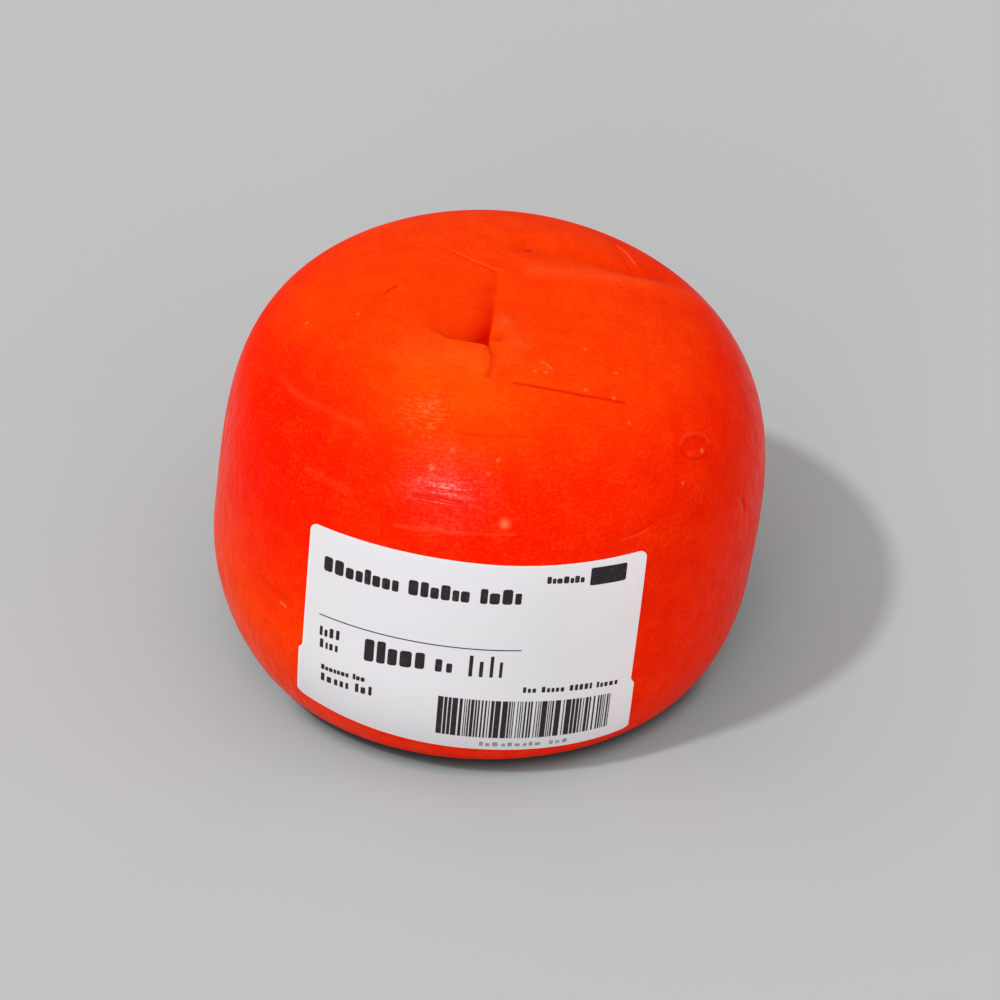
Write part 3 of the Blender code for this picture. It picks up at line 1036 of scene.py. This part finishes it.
@dataclass
class LabelPrint:
    """Generic print: rows of blocks in place of words, a rule, a dark panel and plain stripes."""

    label: PaperLabel
    seed: int = 5
    heading: WordLine = WordLine(-42.3, 13.6, 20.0, 4.9, (8, 6, 4), 0.032, 0.80)
    lines: tuple[WordLine, ...] = (
        WordLine(-42.2, -35.2, -2.2, 3.2, (4,), 0.10, 0.6),
        WordLine(-41.9, -35.6, -6.2, 3.0, (4,), 0.06, 0.6),
        WordLine(-8.2, -2.6, -3.6, 4.4, (2,), 0.05, 0.62),
        WordLine(0.9, 11.4, -3.9, 7.4, (4,), 0.03, 0.36),
        WordLine(-41.0, -27.2, -14.6, 2.2, (7, 3), 0.10, 0.8),
        WordLine(-40.9, -24.6, -19.8, 3.6, (5, 3), 0.12, 0.6),
        WordLine(19.5, 30.0, 28.4, 2.2, (7,), -0.06, 0.8),
        WordLine(16.1, 43.8, -8.8, 2.0, (3, 5, 5, 5), 0.0, 0.66),
    )
    weight: WordLine = WordLine(-28.2, -10.4, -5.4, 7.6, (5,), 0.11, 0.78)
    faded: WordLine = WordLine(5.6, 31.0, -32.0, 2.2, (9, 3), 0.0, 0.6)
    rule: tuple[Point, ...] = ((-42.7, 4.6, 0.35), (14.6, 5.9, 0.35))
    panel: Block = Block(31.4, 26.4, 10.4, 5.6, 0.6, -0.04)
    stripes_left: float = -6.6
    stripes_right: float = 42.6
    stripes_low: float = -27.6
    stripes_tall: float = 15.6

    def stripes(self, draw: np.random.Generator) -> list[Block]:
        """Plain upright stripes of uneven widths across a field."""
        made = []
        at = self.stripes_left
        while at < self.stripes_right - 0.3:
            width = float(draw.choice([0.28, 0.5, 0.85, 1.5], p=[0.36, 0.28, 0.22, 0.14]))
            width = min(width, self.stripes_right - at)
            made.append(Block(at, self.stripes_low, width, self.stripes_tall))
            at += width + float(draw.choice([0.26, 0.45, 0.75], p=[0.5, 0.32, 0.18]))
        return made

    def build(self) -> list[bpy.types.Object]:
        """Makes the print's pieces."""
        draw = np.random.default_rng(self.seed)
        dark = PrintInk().material()
        grey = PrintInk("label_ink_faded", (0.30, 0.28, 0.29), (0.52, 0.50, 0.51)).material()
        (left, low, thick), (right, high, _) = self.rule
        rule = Block(left, low, right - left, thick, 0.0, (high - low) / (right - left))
        groups = {
            "label_heading": self.heading.blocks(draw),
            "label_weight": self.weight.blocks(draw),
            "label_small_lines": [block for line in self.lines for block in line.blocks(draw)],
            "label_rule": [rule],
            "label_panel": [self.panel],
            "label_stripes": self.stripes(draw),
        }
        made = []
        for name, blocks in groups.items():
            made.append(self.label.piece(name, [self.label.block(block) for block in blocks], dark))
        faded = [self.label.block(block) for block in self.faded.blocks(draw)]
        made.append(self.label.piece("label_faded_line", faded, grey))
        return made


@dataclass
class Studio:
    """The plain floor, the soft light and the camera."""

    ball: Ball
    elevation: float = math.radians(38.0)
    distance: float = 1100.0 * MM
    look_at: Point = (3.7 * MM, 0.0, 41.6 * MM)
    lens_pixels: float = 3850.0
    frame_pixels: float = 1000.0
    sensor: float = 36.0
    key_side: float = math.radians(29.5)  # where the key light heads, from +X towards +Y
    key_height: float = math.radians(57.6)
    key_strength: float = 1.31
    key_softness: float = math.radians(4.0)
    sky: float = 0.39
    fills: tuple[tuple[float, float], ...] = (  # each a side, in degrees from -Y towards +X, and a strength
        (0.0, 0.70),
        (45.0, 0.20),
        (135.0, 0.14),
        (180.0, 0.23),
        (225.0, 0.27),
    )
    fill_height: float = math.radians(20.0)
    fill_breadth: tuple[float, float] = (0.3, 1.0)  # cosines where a fill starts and is full
    mirrored_sky: float = 0.3
    softbox_distance: float = 0.9
    softbox_size: tuple[float, float] = (0.30, 0.16)
    softbox_power: float = 1.2
    floor_size: float = 6.0

    def camera(self) -> bpy.types.Object:
        """Makes the camera that sees the ball as the photograph does."""
        data = bpy.data.cameras.new("camera")
        data.sensor_width = self.sensor
        data.lens = self.lens_pixels * self.sensor / self.frame_pixels
        made = add("camera", data)
        back = Vector((0, -math.cos(self.elevation), math.sin(self.elevation)))
        made.location = Vector(self.look_at) + back * self.distance
        made.rotation_euler = (math.pi / 2 - self.elevation, 0, 0)
        bpy.context.scene.camera = made
        return made

    def lamp(self, data: bpy.types.Light, heading: Vector, place: Vector) -> None:
        """Places a lamp so that it shines along a heading."""
        made = add(data.name, data)
        made.location = place
        made.rotation_mode = "QUATERNION"
        made.rotation_quaternion = heading.to_track_quat("-Z", "Y")

    def key(self) -> None:
        """Makes the key light, a far soft lamp high on the left."""
        data = bpy.data.lights.new("key_light", "SUN")
        data.energy = self.key_strength
        data.angle = self.key_softness
        flat = math.cos(self.key_height)
        x, y = flat * math.cos(self.key_side), flat * math.sin(self.key_side)
        heading = Vector((x, y, -math.sin(self.key_height)))
        self.lamp(data, heading, heading * -2)

    def softbox(self, camera: bpy.types.Object) -> None:
        """Makes the softbox, where the camera sees it mirrored in the front shoulder."""
        spot = self.ball.on(np.array(GLOSS_SPOT) * MM)
        out = Vector(self.ball.normals(spot))
        spot = Vector(spot)
        to_camera = (camera.location - spot).normalized()
        mirrored = (2 * to_camera.dot(out) * out - to_camera).normalized()
        data = bpy.data.lights.new("softbox", "AREA")
        data.shape = "RECTANGLE"
        data.size, data.size_y = self.softbox_size
        data.energy = self.softbox_power
        self.lamp(data, -mirrored, spot + mirrored * self.softbox_distance)

    def world(self) -> None:
        """Makes the surrounding light: even, with wide low fills, and dimmer in mirrored views."""
        made = bpy.data.worlds.new("studio")
        made.use_nodes = True
        graph = Graph(made.node_tree)
        heading = graph.node("ShaderNodeTexCoord", {}, {}, "Generated")
        strength = self.sky
        for side, power in self.fills:
            flat = math.cos(self.fill_height)
            level = (flat * math.sin(math.radians(side)), -flat * math.cos(math.radians(side)))
            toward = graph.vector("DOT_PRODUCT", heading, (*level, math.sin(self.fill_height)), "Value")
            strength = graph.ramp(toward, *self.fill_breadth) * power + strength
        mirrored = graph.node("ShaderNodeLightPath", {}, {}, "Is Glossy Ray")
        strength = strength * (1 - mirrored * (1 - self.mirrored_sky))
        background = made.node_tree.nodes["Background"]
        graph.feed(background.inputs["Strength"], strength)
        background.inputs["Color"].default_value = (1.0, 1.0, 1.0, 1.0)
        bpy.context.scene.world = made

    def floor(self) -> None:
        """Makes the floor."""
        bm = bmesh.new()
        bmesh.ops.create_grid(bm, x_segments=4, y_segments=4, size=self.floor_size / 2)
        mesh = bpy.data.meshes.new("floor")
        bm.to_mesh(mesh)
        bm.free()
        mesh.materials.append(GreyFloor().material())
        made = add("floor", mesh)

    def build(self) -> None:
        """Makes everything around the object."""
        camera = self.camera()
        self.key()
        self.softbox(camera)
        self.world()
        self.floor()
        bpy.context.scene.view_settings.view_transform = "Standard"


def main() -> None:
    """Builds the pieces in order and notes the sizes."""
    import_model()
    ball = Ball()
    label = PaperLabel(ball)
    Studio(ball).build()
    pieces = [WaxBall(ball).build(), label.sheet(), *LabelPrint(label).build()]
    for piece in pieces:
        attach(piece, "root")
        LOG.info("%s: %d faces", piece.name, len(piece.data.polygons))


if __name__ == "__main__":
    logging.basicConfig(level=logging.INFO, format="%(message)s")
    main()
